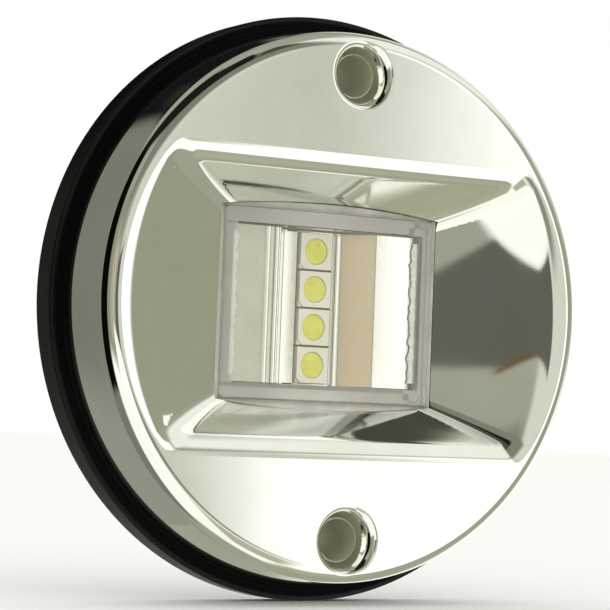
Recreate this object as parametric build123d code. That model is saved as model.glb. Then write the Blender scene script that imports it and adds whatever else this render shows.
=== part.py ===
from build123d import *
import math
import os

# Round LED stern light for a boat, surface mounted with two screws.
# Each piece is drawn lying on its back: x to the right, y up the transom, h outward.
# It is then stood upright: front facing -Y, mounting face on Y = 0, +Z up.

os.makedirs("parts", exist_ok=True)

# ---------------------------------------------------------------- driving dimensions, mm
GASKET_R = 40.7             # outer radius of the rubber mounting ring
GASKET_H = 4.5              # height of its outer collar
GASKET_FLANGE_H = 2.0       # flat part squeezed under the cover
GASKET_OPENING_R = 26.0     # clears the lamp pan in the middle
GASKET_GROOVE_R = 39.7      # shallow groove round the collar
GASKET_GROOVE = 0.22        # its depth and half width
GASKET_CHAMFER = 0.4
GASKET_GAP = 0.05           # clearance between the collar and the cover

COVER_BASE_R = 38.85        # pressed stainless cover, outside, at its open rim
COVER_FACE_R = 37.29        # where its leaning wall would meet the face without the bend
COVER_H = 14.9              # front face above the mounting face
COVER_T = 0.85              # sheet thickness
SHOULDER_R = 2.3            # outside radius of the shoulder bend

RECESS_HALF_H = 19.3        # half height of the pressed recess at the front face
RECESS_END_R = 34.0         # its two ends follow the rim at this radius
RECESS_CORNER_R = 4.0       # soft corners between its four slopes
WINDOW_HALF_W = 17.4        # window through the middle of the recess
WINDOW_HALF_H = 13.2
WINDOW_BOW = 1.1            # the long window edges bow outward by this much
WINDOW_LEVEL = 7.6          # height at which the slopes reach the window
FOLD_R = 3.0                # bend radius where the face turns into the recess
SLOPE_DROP = 1.05           # sheet thickness of the slopes, measured straight back

SCREW_SPACING = 63.5        # two and a half inches, screw centre to screw centre
SCREW_LIP_R = 3.6           # funnel radius where its rolled lip begins
SCREW_LIP_BEND_R = 1.3
SCREW_THROAT_R = 3.0
SCREW_FUNNEL_DEPTH = 2.6
SLEEVE_R = 4.1
SLEEVE_BORE_R = 2.9

LENS_HALF_W = 16.8          # clear lens box
LENS_HALF_H = 13.1
LENS_FRONT = 7.9            # front face at its left and right edges
LENS_BULGE = 0.7            # extra height in the middle of the curved front
LENS_FRONT_T = 1.5
LENS_CORNER = 0.8
LENS_EDGE_R = 0.45
CAVITY_HALF_W = 14.9
CAVITY_HALF_H = 10.9
LENS_FLANGE = 2.6           # clamped flange standing out all round
LENS_FLANGE_LOW = 3.9
LENS_FLANGE_HIGH = 5.2
FLANGE_CORNER = 1.8
LENS_FOOT = 1.2
SEAL_HIGH = 6.4
SEAL_WIDTH = 1.9
SEAL_CORNER = 1.6
RESIN_HIGH = 3.4
FIT = 0.02                  # hairline clearance between pieces that touch

PLATE_R = 37.2              # moulded back plate inside the cover
PLATE_HIGH = 3.9
BOSS_WALL = 1.4             # round bosses that guide the screw sleeves
BOSS_HIGH = 8.0
RIB_FROM_R = 27.0           # stiffening ribs between the lamp pan and the rim
RIB_HIGH = 6.6
RIB_HALF_T = 0.75
RIB_ANGLE = 15              # ribs stand this far either side of the diagonals
PAN_CORNER = 2.5
PAN_WALL = 1.5
PAN_FLOOR = 1.0
PAN_GAP = 0.5               # room round the lens foot, filled with potting resin
WIRE_X = 10.6               # wire outlet through the pan floor
WIRE_R = 3.2
WIRE_BORE_R = 2.0

BOARD_T = 0.8
BOARD_GAP = 0.1             # clearance to the lens walls
WIRE_HOLE_R = 0.5
LED_SIZE = 5.0              # 5050 package
LED_H = 1.6
LED_PITCH = 5.3
LED_COUNT = 4
DISC_R = 1.75               # phosphor disc in each package
DISC_T = 0.25
WELL_DEPTH = 0.35
LEAD_HALF_W = 0.45
LEAD_PITCH = 1.6
LEAD_T = 0.35

RESISTOR_X = -8.6
RESISTOR_PITCH = 6.0
RESISTOR_HALF_W = 1.05
RESISTOR_HALF_H = 0.8
RESISTOR_T = 0.55
CAP_W = 0.52                # soldered end of a resistor
DIODE_X = 9.5
DIODE_Y = -7.3
DIODE_HALF_W = 2.1
DIODE_HALF_H = 1.3
DIODE_T = 2.0
DIODE_LIFT = 0.15
TAB_HALF_W = 0.32
SOLDER_R = 0.95
WIRE_PITCH = 3.2

TRAY_TOP = 6.0              # bright reflector tray on both sides of the LEDs
TRAY_LEDGE = 2.9
TRAY_T = 0.5
TRAY_INNER = 2.75
TRAY_RIGHT_START = 4.3      # foot and top of the slope on the right of the LEDs
TRAY_RIGHT_END = 8.2
TRAY_LEFT_START = 5.0       # the slope on the left is steeper
TRAY_LEFT_END = 7.2
TRAY_BEAD_X = 7.9           # two raised lines beside the left slope
TRAY_BEAD_PITCH = 1.45
TRAY_BEAD_R = 0.45
GLUE_HALF_H = 9.8
GLUE_T = 0.8
TRAY_HALF_W = 14.4
TRAY_HALF_H = 10.7


def stand_up(shape):
    """Turns a piece drawn lying on its back so that its front faces -Y."""
    return Rot(90, 0, 0) * shape


def save(name, *shapes):
    """Writes one node, which may hold several separate solids."""
    solids = []
    for shape in shapes:
        solids.extend(stand_up(shape).solids())
    piece = solids[0] if len(solids) == 1 else Compound(children=solids)
    export_step(piece, "parts/" + name + ".step")


def block(x0, x1, y0, y1, h0, h1):
    """A plain box between two corners."""
    box = Box(x1 - x0, y1 - y0, h1 - h0)
    return Pos((x0 + x1) / 2, (y0 + y1) / 2, (h0 + h1) / 2) * box


def slab(half_w, half_h, corner, h0, h1):
    """A flat slab with rounded corners."""
    return Pos(0, 0, h0) * extrude(RectangleRounded(2 * half_w, 2 * half_h, corner), h1 - h0)


def disc(radius, h0, h1):
    """A round slab standing between two heights."""
    return Pos(0, 0, h0) * extrude(Circle(radius), h1 - h0)


def tube(radius, bore, h0, h1):
    """A straight round tube."""
    return disc(radius, h0, h1) - disc(bore, h0 - 1, h1 + 1)


def at_screws(shape):
    """The same shape at both screw positions."""
    return [Pos(0, side * SCREW_SPACING / 2, 0) * shape for side in (1, -1)]


def turned(points):
    """Turns a closed outline of (radius, height) points about the axis."""
    with BuildPart() as made:
        with BuildSketch(Plane.XZ):
            with BuildLine():
                Polyline(*points, close=True)
            make_face()
        revolve(axis=Axis.Z)
    return made.part


def circle_edges(solid, radius, height):
    """The full circular edges of a turned solid at one radius and height."""
    found = []
    for edge in solid.edges():
        box = edge.bounding_box()
        if abs(edge.center().Z - height) < 0.01 and abs(box.max.X - radius) < 0.02:
            found.append(edge)
    return found


# ---------------------------------------------------------------- pressed stainless cover

def cup(inset):
    """The cover as a filled cup, shrunk inward by the given amount."""
    foot = 0.0 if inset else GASKET_FLANGE_H
    face = COVER_H - inset
    solid = turned([
        (0, foot),
        (COVER_BASE_R - inset, foot),
        (COVER_BASE_R - inset, GASKET_H),
        (COVER_FACE_R - inset, face),
        (0, face),
    ])
    return fillet(circle_edges(solid, COVER_FACE_R - inset, face), SHOULDER_R - inset)


def recess():
    """Four sloping sides running from the window out to the recess outline."""
    rise = COVER_H - WINDOW_LEVEL
    above = 1.2
    grow = (rise + above) / rise
    top_h = WINDOW_HALF_H + (RECESS_HALF_H - WINDOW_HALF_H) * grow
    top_r = WINDOW_HALF_W + (RECESS_END_R - WINDOW_HALF_W) * grow
    top_x = math.sqrt(top_r ** 2 - top_h ** 2)
    with BuildPart() as made:
        with BuildSketch(Plane.XY.offset(WINDOW_LEVEL)):
            Rectangle(2 * WINDOW_HALF_W, 2 * WINDOW_HALF_H)
        with BuildSketch(Plane.XY.offset(COVER_H + above)):
            with BuildLine():
                Line((-top_x, top_h), (top_x, top_h))
                ThreePointArc((top_x, top_h), (top_r, 0), (top_x, -top_h))
                Line((top_x, -top_h), (-top_x, -top_h))
                ThreePointArc((-top_x, -top_h), (-top_r, 0), (-top_x, top_h))
            make_face()
        loft(ruled=True)
    solid = made.part
    corners = []
    for edge in solid.edges():
        if WINDOW_LEVEL + 1 < edge.center().Z < COVER_H:
            corners.append(edge)
    return fillet(corners, RECESS_CORNER_R)


def window_cut():
    """The window opening: straight ends, long edges bowed a little outward."""
    w = WINDOW_HALF_W
    h = WINDOW_HALF_H
    with BuildPart() as made:
        with BuildSketch():
            with BuildLine():
                ThreePointArc((-w, h), (0, h + WINDOW_BOW), (w, h))
                Line((w, h), (w, -h))
                ThreePointArc((w, -h), (0, -h - WINDOW_BOW), (-w, -h))
                Line((-w, -h), (-w, h))
            make_face()
        extrude(amount=COVER_H)
    return made.part


def funnel(extra):
    """The funnel pressed round each screw hole, thickened by the given amount."""
    bottom = COVER_H - SCREW_FUNNEL_DEPTH
    lip = COVER_H - SCREW_LIP_BEND_R
    throat = SCREW_THROAT_R + extra
    neck = SCREW_LIP_R + extra
    reach = neck + SCREW_LIP_BEND_R
    bend = SCREW_LIP_BEND_R * math.sqrt(0.5)
    with BuildPart() as made:
        with BuildSketch(Plane.XZ):
            with BuildLine():
                Line((0, bottom), (throat, bottom))
                Line((throat, bottom), (neck, lip))
                ThreePointArc((neck, lip), (reach - bend, lip + bend), (reach, COVER_H))
                Line((reach, COVER_H), (reach, COVER_H + 1))
                Line((reach, COVER_H + 1), (0, COVER_H + 1))
                Line((0, COVER_H + 1), (0, bottom))
            make_face()
        revolve(axis=Axis.Z)
    return made.part


hollow = recess()
skin = cup(0) - hollow
folds = []
for edge in skin.edges():
    box = edge.bounding_box()
    if abs(edge.center().Z - COVER_H) < 0.02 and box.size.Z < 0.02 and box.max.X < RECESS_END_R + 0.3:
        if box.min.X > -RECESS_END_R - 0.3:
            folds.append(edge)
skin = fillet(folds, FOLD_R)
core = cup(COVER_T) - Pos(0, 0, -SLOPE_DROP) * hollow
for position in at_screws(funnel(0)):
    skin = skin - position
for position in at_screws(funnel(COVER_T)):
    core = core - position
steel_cover = skin - core - window_cut()
for position in at_screws(disc(SCREW_THROAT_R, COVER_H - SCREW_FUNNEL_DEPTH - 1, COVER_H)):
    steel_cover = steel_cover - position
save("steel_cover", steel_cover)

# ---------------------------------------------------------------- rubber mounting ring

gasket = turned([
    (GASKET_OPENING_R, 0),
    (GASKET_R - GASKET_CHAMFER, 0),
    (GASKET_R, GASKET_CHAMFER),
    (GASKET_R, GASKET_H - GASKET_CHAMFER),
    (GASKET_R - GASKET_CHAMFER, GASKET_H),
    (GASKET_GROOVE_R + GASKET_GROOVE, GASKET_H),
    (GASKET_GROOVE_R, GASKET_H - GASKET_GROOVE),
    (GASKET_GROOVE_R - GASKET_GROOVE, GASKET_H),
    (COVER_BASE_R + GASKET_CHAMFER, GASKET_H),
    (COVER_BASE_R + GASKET_GAP, GASKET_H - GASKET_CHAMFER),
    (COVER_BASE_R + GASKET_GAP, GASKET_FLANGE_H),
    (GASKET_OPENING_R, GASKET_FLANGE_H),
])
for position in at_screws(disc(SLEEVE_R + GASKET_GAP, -1, GASKET_H)):
    gasket = gasket - position
save("mounting_gasket", gasket)

# ---------------------------------------------------------------- moulded back plate with its lamp pan

pocket_w = LENS_HALF_W + PAN_GAP
pocket_h = LENS_HALF_H + PAN_GAP
back_plate = disc(PLATE_R, GASKET_FLANGE_H, PLATE_HIGH)
back_plate = back_plate + slab(pocket_w + PAN_WALL, pocket_h + PAN_WALL, PAN_CORNER, 0, PLATE_HIGH)
back_plate = back_plate - slab(pocket_w, pocket_h, 1.0, PAN_FLOOR, PLATE_HIGH + 1)
back_plate = back_plate - Pos(WIRE_X, 0, 0) * disc(WIRE_R, -1, PAN_FLOOR + 1)
boss = disc(SLEEVE_R + BOSS_WALL, GASKET_FLANGE_H, BOSS_HIGH)
for position in at_screws(boss):
    back_plate = back_plate + (position & disc(PLATE_R, 0, COVER_H))
for position in at_screws(disc(SLEEVE_R + GASKET_GAP, -1, COVER_H)):
    back_plate = back_plate - position
rib = block(-RIB_HALF_T, RIB_HALF_T, RIB_FROM_R, PLATE_R - 1, PLATE_HIGH - 0.01, RIB_HIGH)
for diagonal in (45, 135, 225, 315):
    for side in (1, -1):
        back_plate = back_plate + Rot(0, 0, diagonal + side * RIB_ANGLE) * rib
save("back_plate", back_plate)

# ---------------------------------------------------------------- clear lens box

def lens_front(half_w, edge_level, bulge, half_h):
    """A slab whose front is a shallow arch across the width, for the lens and for its inside."""
    with BuildPart() as made:
        with BuildSketch(Plane.XZ):
            with BuildLine():
                Line((-half_w, 0), (half_w, 0))
                Line((half_w, 0), (half_w, edge_level))
                ThreePointArc((half_w, edge_level), (0, edge_level + bulge), (-half_w, edge_level))
                Line((-half_w, edge_level), (-half_w, 0))
            make_face()
        extrude(amount=half_h, both=True)
    return made.part


lens = lens_front(LENS_HALF_W, LENS_FRONT, LENS_BULGE, LENS_HALF_H)
upright = [e for e in lens.edges() if abs(abs(e.center().X) - LENS_HALF_W) < 0.01 and e.length > 5]
sides = [e for e in upright if e.bounding_box().size.Z > 5]
lens = fillet(sides, LENS_CORNER)
rim = [e for e in lens.edges() if e.center().Z > LENS_FRONT - LENS_EDGE_R]
lens = fillet(rim, LENS_EDGE_R)
flange_w = LENS_HALF_W + LENS_FLANGE
flange_h = LENS_HALF_H + LENS_FLANGE
flange = slab(flange_w, flange_h, FLANGE_CORNER, LENS_FLANGE_LOW, LENS_FLANGE_HIGH)
lens = lens + flange
lens = lens - block(-flange_w, flange_w, -flange_h, flange_h, -1, LENS_FOOT)
cavity = lens_front(CAVITY_HALF_W, LENS_FRONT - LENS_FRONT_T, LENS_BULGE, CAVITY_HALF_H)
lens = lens - cavity
save("lens", lens)

# ---------------------------------------------------------------- rubber seal between lens flange and cover

seal_w = LENS_HALF_W + 0.1
seal_h = LENS_HALF_H + 0.1
seal = slab(seal_w + SEAL_WIDTH, seal_h + SEAL_WIDTH, SEAL_CORNER, LENS_FLANGE_HIGH, SEAL_HIGH)
seal = seal - slab(seal_w, seal_h, LENS_CORNER, 0, COVER_H)
save("lens_seal", seal)

# ---------------------------------------------------------------- potting resin under and round the lens foot

resin = slab(pocket_w - FIT, pocket_h - FIT, 1.0, PAN_FLOOR + FIT, RESIN_HIGH)
resin = resin - slab(LENS_HALF_W + FIT, LENS_HALF_H + FIT, LENS_CORNER, LENS_FOOT - FIT, COVER_H)
resin = resin - block(-CAVITY_HALF_W, CAVITY_HALF_W, -CAVITY_HALF_H, CAVITY_HALF_H, 0, COVER_H)
save("potting_resin", resin)

# ---------------------------------------------------------------- circuit board, LEDs and driver parts

board_top = PAN_FLOOR + BOARD_T
board_w = CAVITY_HALF_W - BOARD_GAP
board_h = CAVITY_HALF_H - BOARD_GAP
board = block(-board_w, board_w, -board_h, board_h, PAN_FLOOR, board_top)
for side in (1, -1):
    board = board - Pos(WIRE_X, side * WIRE_PITCH / 2, 0) * disc(WIRE_HOLE_R, 0, board_top + 1)
save("led_board", board)

leads = []
half = LED_SIZE / 2
led_top = board_top + LED_H
for number in range(LED_COUNT):
    y = ((LED_COUNT - 1) / 2 - number) * LED_PITCH
    package = block(-half, half, y - half, y + half, board_top, led_top)
    well = Pos(0, y, led_top - WELL_DEPTH) * extrude(Circle(DISC_R + GASKET_GAP), 1, taper=-12)
    package = package - well
    notch = Pos(-half, y - half, led_top) * Rot(0, 0, 45) * Box(1, 1, 2 * WELL_DEPTH)
    package = package - notch
    phosphor = Pos(0, y, led_top - WELL_DEPTH) * extrude(Circle(DISC_R), DISC_T)
    save("led_package_" + str(number + 1), package)
    save("led_phosphor_" + str(number + 1), phosphor)
    for side in (1, -1):
        for step in (-LEAD_PITCH, 0, LEAD_PITCH):
            lead = Box(LEAD_T / 2, 2 * LEAD_HALF_W, LEAD_T)
            lead_x = side * (half + LEAD_T / 4 + FIT)
            leads.append(Pos(lead_x, y + step, board_top + LEAD_T / 2) * lead)
save("led_leads", *leads)

resistor_ends = []
for number in range(3):
    y = (1 - number) * RESISTOR_PITCH
    body = block(-RESISTOR_HALF_W, RESISTOR_HALF_W, -RESISTOR_HALF_H, RESISTOR_HALF_H, 0, RESISTOR_T)
    save("resistor_" + str(number + 1), Pos(RESISTOR_X, y, board_top) * body)
    for side in (1, -1):
        cap = Box(CAP_W, 2 * RESISTOR_HALF_H, RESISTOR_T)
        cap_x = RESISTOR_X + side * (RESISTOR_HALF_W + CAP_W / 2 + FIT)
        resistor_ends.append(Pos(cap_x, y, board_top + RESISTOR_T / 2) * cap)
save("resistor_ends", *resistor_ends)

diode_top = board_top + DIODE_LIFT + DIODE_T
diode = block(-DIODE_HALF_W, DIODE_HALF_W, -DIODE_HALF_H, DIODE_HALF_H, diode_top - DIODE_T, diode_top)
diode_edges = [e for e in diode.edges() if abs(e.center().Z - diode_top) < 0.01]
diode = chamfer(diode_edges, 0.2)
save("polarity_diode", Pos(DIODE_X, DIODE_Y, 0) * diode)
tabs = []
for side in (1, -1):
    tab = Box(2 * TAB_HALF_W, DIODE_HALF_H, DIODE_T / 2)
    tab_x = DIODE_X + side * (DIODE_HALF_W + TAB_HALF_W + FIT)
    tabs.append(Pos(tab_x, DIODE_Y, board_top + DIODE_T / 4) * tab)
save("diode_tabs", *tabs)

joints = []
for side in (1, -1):
    dome = Pos(0, 0, -SOLDER_R / 3) * Sphere(SOLDER_R)
    dome = dome & block(-SOLDER_R, SOLDER_R, -SOLDER_R, SOLDER_R, 0, SOLDER_R)
    joints.append(Pos(WIRE_X, side * WIRE_PITCH / 2, board_top) * dome)
save("wire_solder_joints", *joints)

# ---------------------------------------------------------------- bright reflector tray and its adhesive

def tray_half(side, slope_start, slope_end):
    """Ledge, slope and flange on one side of the LED row."""
    under = board_top + FIT
    outline = [
        (TRAY_INNER, TRAY_LEDGE),
        (slope_start, TRAY_LEDGE),
        (slope_end, TRAY_TOP),
        (TRAY_HALF_W, TRAY_TOP),
        (TRAY_HALF_W, under),
        (TRAY_HALF_W - TRAY_T, under),
        (TRAY_HALF_W - TRAY_T, TRAY_TOP - TRAY_T),
        (slope_end + TRAY_T / 2, TRAY_TOP - TRAY_T),
        (slope_start + TRAY_T / 2, TRAY_LEDGE - TRAY_T),
        (TRAY_INNER, TRAY_LEDGE - TRAY_T),
    ]
    mirrored = [(side * x, h) for x, h in outline]
    with BuildPart() as made:
        with BuildSketch(Plane.XZ):
            with BuildLine():
                Polyline(*mirrored, close=True)
            make_face()
        extrude(amount=TRAY_HALF_H, both=True)
    return made.part


tray = tray_half(1, TRAY_RIGHT_START, TRAY_RIGHT_END) + tray_half(-1, TRAY_LEFT_START, TRAY_LEFT_END)
for x in (-TRAY_BEAD_X, -TRAY_BEAD_X - TRAY_BEAD_PITCH):
    bead = Pos(x, 0, TRAY_TOP - TRAY_BEAD_R / 2) * Rot(90, 0, 0) * Cylinder(TRAY_BEAD_R, 2 * TRAY_HALF_H)
    tray = tray + (bead & block(-TRAY_HALF_W, 0, -TRAY_HALF_H, TRAY_HALF_H, TRAY_TOP - TRAY_T / 2, COVER_H))
led_row = (LED_COUNT - 1) / 2 * LED_PITCH + LED_SIZE / 2 + 2 * FIT
for side in (1, -1):
    y0 = side * led_row
    y1 = side * (TRAY_HALF_H + 0.12)
    bar = block(-TRAY_RIGHT_START, TRAY_RIGHT_START, min(y0, y1), max(y0, y1), TRAY_LEDGE - TRAY_T, TRAY_LEDGE)
    tray = tray + bar
save("reflector_tray", tray)

beads = []
for side in (1, -1):
    x0 = side * (TRAY_HALF_W + FIT)
    x1 = side * (CAVITY_HALF_W - FIT)
    bead = block(min(x0, x1), max(x0, x1), -GLUE_HALF_H, GLUE_HALF_H, TRAY_TOP - GLUE_T, TRAY_TOP)
    beads.append(bead)
save("tray_adhesive", *beads)

# ---------------------------------------------------------------- screw sleeves and wire grommet

sleeve_top = COVER_H - SCREW_FUNNEL_DEPTH - FIT
for name, side in (("screw_sleeve_upper", 1), ("screw_sleeve_lower", -1)):
    sleeve = Pos(0, side * SCREW_SPACING / 2, 0) * tube(SLEEVE_R, SLEEVE_BORE_R, 0, sleeve_top)
    save(name, sleeve)

grommet = Pos(WIRE_X, 0, 0) * tube(WIRE_R - FIT, WIRE_BORE_R, 0, PAN_FLOOR - FIT)
save("wire_grommet", grommet)
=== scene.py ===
import math

import bmesh
import bpy
import numpy as np
from mathutils import Matrix, Vector
from mathutils.geometry import delaunay_2d_cdt


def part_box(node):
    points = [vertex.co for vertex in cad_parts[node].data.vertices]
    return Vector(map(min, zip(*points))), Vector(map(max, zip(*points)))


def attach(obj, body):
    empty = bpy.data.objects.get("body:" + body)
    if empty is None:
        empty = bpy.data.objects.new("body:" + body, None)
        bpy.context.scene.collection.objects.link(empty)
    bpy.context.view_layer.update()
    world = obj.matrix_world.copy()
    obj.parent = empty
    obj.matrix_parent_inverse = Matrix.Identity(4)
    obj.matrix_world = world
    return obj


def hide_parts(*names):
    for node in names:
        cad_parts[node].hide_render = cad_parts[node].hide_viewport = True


# A round LED stern light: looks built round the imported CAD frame.
# Lengths in this script are millimetres in the light's own terms: x to the right, z up, and
# h outward from the mounting face. A point (x, z, h) lies at (x, -h, z) / 1000 in the frame.

MM = 0.001
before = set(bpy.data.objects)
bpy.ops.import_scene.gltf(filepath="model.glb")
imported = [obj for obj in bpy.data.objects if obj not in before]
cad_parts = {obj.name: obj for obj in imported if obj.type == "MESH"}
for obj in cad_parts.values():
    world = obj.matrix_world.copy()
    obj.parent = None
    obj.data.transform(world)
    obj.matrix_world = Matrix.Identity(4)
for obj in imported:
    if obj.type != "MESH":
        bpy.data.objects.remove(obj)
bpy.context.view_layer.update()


# ------------------------------------------------------------------ sizes read from the frame

def node_size(name):
    """Half width, half height, lowest and highest h of a CAD node, in millimetres."""
    low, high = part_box(name)
    return high.x / MM, high.z / MM, -high.y / MM, -low.y / MM


COVER_R, _, COVER_LOW, FACE_H = node_size("steel_cover")
GASKET_R, _, _, GASKET_H = node_size("mounting_gasket")
SLEEVE_R = 4.1
SCREW_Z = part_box("screw_sleeve_upper")[1].z / MM - SLEEVE_R
LENS_FLANGE_W, LENS_FLANGE_Z, LENS_LOW, _ = node_size("lens")

SHEET = 0.85              # thickness of the pressed sheet
SHOULDER_R = 2.3          # bend between the face and the side wall
SHOULDER_AT = 35.3        # radius at which that bend begins
WALL_TILT = math.radians(8.5)    # the wall leans outward towards its foot
WALL_BELLY = 0.05         # and bulges by this much halfway down
RECESS_Z = 19.3           # half height of the recess at the face
RECESS_R = 34.0           # its two ends follow this circle
END_ROOT_Z, END_Z = 30.0, 27.0   # that circle is followed to the first, and used to the second
CORNER_BLEND = 3.0        # height over which the folds' softness changes round a corner
WINDOW_X, WINDOW_Z, WINDOW_BOW = 17.4, 13.2, 1.1    # opening in the recess's floor
WINDOW_H = 7.6            # and its height
FOLD_LONG, FOLD_END, VALLEY = 1.8, 1.0, 2.0    # softness of the recess's folds and corners
THROAT_R, THROAT_H = 3.0, 12.3   # inner edge of the dish round a screw
FUNNEL_RISE, LIP = 2.17, 1.5     # the dish's slope and the softness of its rim

FRONT_R = 36.9            # the cover's front is triangulated to here, then it goes by rings
GRID, ROW_STEP = 0.5, 0.866      # spacing of the front's points and of their rows
GRID_TO, FINE_FROM, FINE = 33.35, 33.5, 0.2    # that grid's limit, and the fine rings round it
DISH_R, DISH_CLEAR = 5.4, 5.5    # fine rings round a screw, and the coarse points' limit
WINDOW_CLEAR, RIM_CLEAR, DISH_RIM_CLEAR = 0.2, 0.1, 0.12    # bare strips along those edges
RIM_COUNT, DISH_COUNT = 720, 72  # points once round the rim and round a screw
RIM_HALF_STEP = 0.00436   # every second fine ring is turned by this many radians
SHOULDER_STEPS, WALL_STEPS = 16, 13
AROUND = 360              # steps round a turned piece

LENS_X, LENS_Z, LENS_EDGE_H = 16.8, 13.1, 7.9      # clear box standing in the window
LENS_ARCH, LENS_WALL = 0.7, 1.9
LENS_IN_X, LENS_IN_Z = LENS_X - LENS_WALL, LENS_Z - LENS_WALL - 0.3    # its hollow
FLANGE_LOW, FLANGE_HIGH = 3.9, 5.2
TRAY_X, TRAY_Z, TRAY_TOP, TRAY_LEDGE = 14.4, 10.7, 6.0, 2.9
TRAY_FOOT, TRAY_GAP = 2.0, 2.8   # foot of its outer edge, and half the gap for the LEDs
TRAY_SHEET, TRAY_FLANGE_SHEET = 0.5, 0.55
GLUE_Z, GLUE_ROWS, GLUE_SEED = 9.9, 90, 7
GEL_DOME, GEL_SEGMENTS = 0.1, 64
RING_IN_R, RING_BEAD_R = 26.0, 39.75           # the rubber ring's middle and its raised line


# ------------------------------------------------------------------ mesh helpers

def put(points):
    """Frame coordinates in metres for rows of (x, z, h)."""
    rows = np.asarray(points, float)
    return np.column_stack([rows[:, 0], -rows[:, 2], rows[:, 1]]) * MM


def add_piece(name, vertices, faces, material, stands_for=(), normals=None):
    """A mesh piece on the one body. normals are per vertex."""
    mesh = bpy.data.meshes.new(name)
    mesh.from_pydata([tuple(v) for v in vertices], [], [tuple(f) for f in faces])
    mesh.validate()
    piece = bpy.data.objects.new(name, mesh)
    bpy.context.scene.collection.objects.link(piece)
    return dress(piece, material, stands_for, normals)


def dress(piece, material, stands_for=(), normals=None, sharp=None):
    """Material, smooth shading and body of a piece. sharp is an angle in degrees."""
    mesh = piece.data
    mesh.materials.clear()
    mesh.materials.append(material)
    mesh.polygons.foreach_set("use_smooth", [True] * len(mesh.polygons))
    if normals is not None:
        mesh.normals_split_custom_set_from_vertices([tuple(n) for n in normals])
    if sharp is not None:
        crease(piece, sharp)
    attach(piece, "root")
    if stands_for:
        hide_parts(*stands_for)
    return piece


def mark_sharp(mesh, angle):
    """Marks the edges that bend by more than an angle in degrees."""
    work = bmesh.new()
    work.from_mesh(mesh)
    limit = math.radians(angle)
    for edge in work.edges:
        edge.smooth = len(edge.link_faces) == 2 and edge.calc_face_angle(0) < limit
    work.to_mesh(mesh)
    work.free()


def crease(piece, angle):
    """Sharp edges, and even shading on the faces between them."""
    mark_sharp(piece.data, angle)
    piece.modifiers.new("even_normals", "WEIGHTED_NORMAL").keep_sharp = True


def fix_outward(piece):
    """Turns every face of a closed piece outward."""
    work = bmesh.new()
    work.from_mesh(piece.data)
    bmesh.ops.recalc_face_normals(work, faces=work.faces)
    work.to_mesh(piece.data)
    work.free()


def closed_piece(name, points, faces, material, stands_for, sharp):
    """A closed piece from (x, z, h) points, with its sharp edges marked."""
    piece = add_piece(name, put(points), faces, material, stands_for)
    fix_outward(piece)
    crease(piece, sharp)
    return piece


def band(rows, count, closed=True):
    """Quads between rows of count points, and from the last row to the first if closed."""
    faces = []
    for row in range(rows if closed else rows - 1):
        here, there = row * count, (row + 1) % rows * count
        for i in range(count):
            j = (i + 1) % count
            faces.append((here + i, here + j, there + j, there + i))
    return faces


def end_caps(rows, count):
    """The two faces that close an open band."""
    last = (rows - 1) * count
    return [tuple(range(count)), tuple(last + i for i in reversed(range(count)))]


def smooth_min(a, b, k):
    """The lower of two heights, rounded where they meet."""
    near = np.clip(k - np.abs(a - b), 0, None)
    return np.minimum(a, b) - near * near / (4 * k)


def smooth_max(a, b, k):
    """The higher of two heights, rounded where they meet."""
    return -smooth_min(-a, -b, k)


def ease(t):
    """0 to 1 with a soft start and a soft end."""
    t = np.clip(t, 0, 1)
    return t * t * (3 - 2 * t)


# ------------------------------------------------------------------ pressed stainless cover

def face_height(x, z):
    """Outside height of the pressed cover over its front, from the centre to the shoulder."""
    radius = np.hypot(x, z)
    over = np.clip(radius - SHOULDER_AT, 0, SHOULDER_R)
    height = FACE_H - SHOULDER_R + np.sqrt(SHOULDER_R ** 2 - over ** 2)
    rise = FACE_H - WINDOW_H
    long_slope = WINDOW_H + (np.abs(z) - WINDOW_Z) * rise / (RECESS_Z - WINDOW_Z)
    end_at = np.sqrt(RECESS_R ** 2 - np.minimum(np.abs(z), END_ROOT_Z) ** 2)
    end_slope = WINDOW_H + rise * (np.abs(x) - WINDOW_X) / (end_at - WINDOW_X)
    end_slope = np.where(np.abs(z) > END_Z, long_slope, end_slope)
    pressed = smooth_max(long_slope, end_slope, VALLEY)
    share = ease((end_slope - long_slope) / CORNER_BLEND + 0.5)
    height = smooth_min(height, pressed, FOLD_LONG + (FOLD_END - FOLD_LONG) * share)
    for side in (1, -1):
        from_screw = np.hypot(x, z - side * SCREW_Z)
        funnel = THROAT_H + (from_screw - THROAT_R) * FUNNEL_RISE
        height = smooth_min(height, funnel, LIP)
    return height


def face_normals(x, z):
    """Outward directions of that surface, in the frame's axes."""
    step = 0.02
    slope_x = (face_height(x + step, z) - face_height(x - step, z)) / (2 * step)
    slope_z = (face_height(x, z + step) - face_height(x, z - step)) / (2 * step)
    normals = np.column_stack([-slope_x, -np.ones_like(x), -slope_z])
    return normals / np.linalg.norm(normals, axis=1)[:, None]


def ring(radius, count, cx=0.0, cz=0.0, turn=0.0):
    """Points once round a circle."""
    angle = np.linspace(0, 2 * math.pi, count, endpoint=False) + turn
    return np.column_stack([cx + radius * np.cos(angle), cz + radius * np.sin(angle)])


def window_edge(x):
    """Half height of the window at x: its long edges bow outward."""
    return WINDOW_Z + WINDOW_BOW * (1 - (x / WINDOW_X) ** 2)


def in_window(points, margin=0.0):
    """True for the points inside the window, or within a margin of it."""
    x, z = points[:, 0], points[:, 1]
    return (np.abs(x) < WINDOW_X + margin) & (np.abs(z) < window_edge(x) + margin)


def off_screws(points, distance):
    """True for the points farther than a distance from both screws."""
    away = [np.hypot(points[:, 0], points[:, 1] - side * SCREW_Z) for side in (1, -1)]
    return (away[0] > distance) & (away[1] > distance)


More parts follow.
